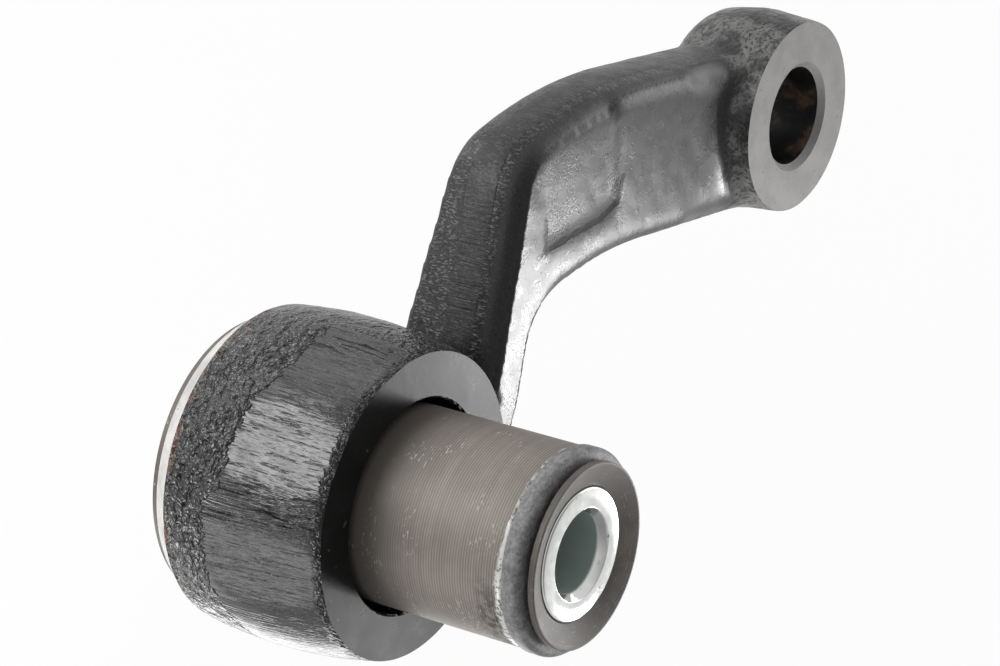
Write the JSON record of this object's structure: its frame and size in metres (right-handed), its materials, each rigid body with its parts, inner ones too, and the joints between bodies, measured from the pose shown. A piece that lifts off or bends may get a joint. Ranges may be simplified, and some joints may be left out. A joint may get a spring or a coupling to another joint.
{
  "type": "idler arm",
  "caption": "Steering idler arm: a bent forged arm on a sleeved bush that turns about its bolt, with a tapered hole for the ball stud in the small boss.",
  "frame": {"origin": "on the pivot axis, level with the machined front faces of both bosses", "axes": "+Z along the pivot axis towards the long end of the bush, +X from the pivot towards the small boss, +Y to the side on which the arm's elbow stands out"},
  "size_m": [0.1587, 0.0591, 0.067],
  "materials": {
    "black_paint": "semi-gloss black paint over forged steel, scratched where the flash was trimmed",
    "phosphated_steel": "phosphated, with fine turning lines",
    "zinc_plated_steel": "bright zinc",
    "liner_plastic": "dark moulded polymer, slightly glossy",
    "rubber": "matt black"
  },
  "bodies": {
    "sleeve": {"inner_sleeve": "zinc_plated_steel"},
    "arm": {"idler_arm": "black_paint", "bush_tube": "phosphated_steel", "front_liner": "liner_plastic", "rear_liner": "liner_plastic", "front_seal_ring": "rubber", "rear_seal_ring": "rubber"}
  },
  "joints": [
    {"name": "arm_pivot", "type": "hinge", "parent": "sleeve", "child": "arm", "pos_m": [0, 0, 0], "axis": [0, 0, 1], "continuous": true}
  ]
}
